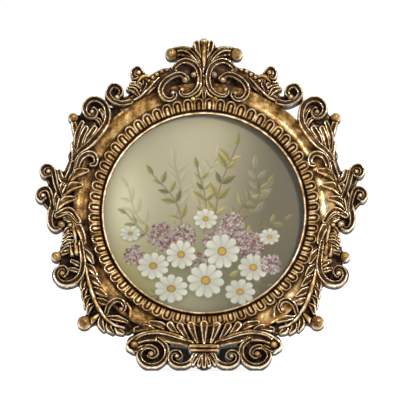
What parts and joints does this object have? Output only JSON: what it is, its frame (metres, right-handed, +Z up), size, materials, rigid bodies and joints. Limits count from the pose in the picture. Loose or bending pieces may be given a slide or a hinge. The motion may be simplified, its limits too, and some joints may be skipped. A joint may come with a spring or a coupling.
{
  "type": "round photo frame",
  "caption": "Round gilt cast photo frame with egg-and-tongue moulding and pierced scrollwork, glazed print, velvet back and folding easel leg.",
  "frame": {"origin": "middle of the flat on which the lower scrolls stand on the table, under the centre line", "axes": "+X to the viewer's right, +Y from the face towards the easel leg, +Z up"},
  "size_m": [0.2018, 0.0719, 0.2009],
  "materials": {
    "gilt_resin": "antique gold over dark umber",
    "glass": "clear",
    "print": "satin print",
    "card": "grey board",
    "board": "fibre board",
    "velvet": "velvet",
    "ribbon": "woven satin",
    "steel": "nickel plated",
    "brass": "brass plated"
  },
  "bodies": {
    "frame": {"frame_casting": "gilt_resin", "glass_disc": "glass", "photo_print": "print", "filler_card": "card", "back_board": "board", "velvet_cover": "velvet", "button_screws": "brass", "hinge_leaf_board": "steel", "hinge_pin": "steel", "hinge_rivets_board": "steel", "stay_ribbon": "ribbon", "ribbon_rivet_board": "steel", "sawtooth_hanger": "brass", "hanger_nails": "brass"},
    "leg": {"easel_leg": "board", "leg_cover": "velvet", "hinge_leaf_leg": "steel", "hinge_rivets_leg": "steel", "ribbon_rivet_leg": "steel"},
    "button_1": {"turn_button_1": "steel"},
    "button_2": {"turn_button_2": "steel"},
    "button_3": {"turn_button_3": "steel"},
    "button_4": {"turn_button_4": "steel"}
  },
  "joints": [
    {"name": "leg_fold", "type": "hinge", "parent": "frame", "child": "leg", "pos_m": [0, 0.03429, 0.13518], "axis": [-1, 0, 0], "range_deg": [0, 22], "deforming": ["stay_ribbon"]},
    {"name": "button_1_turn", "type": "hinge", "parent": "frame", "child": "button_1", "pos_m": [0.04985, 0.03376, 0.1423], "axis": [0, 0.9781, -0.2079], "continuous": true},
    {"name": "button_2_turn", "type": "hinge", "parent": "frame", "child": "button_2", "pos_m": [-0.04985, 0.03376, 0.1423], "axis": [0, 0.9781, -0.2079], "continuous": true},
    {"name": "button_3_turn", "type": "hinge", "parent": "frame", "child": "button_3", "pos_m": [-0.04985, 0.01303, 0.04477], "axis": [0, 0.9781, -0.2079], "continuous": true},
    {"name": "button_4_turn", "type": "hinge", "parent": "frame", "child": "button_4", "pos_m": [0.04985, 0.01303, 0.04477], "axis": [0, 0.9781, -0.2079], "continuous": true}
  ]
}
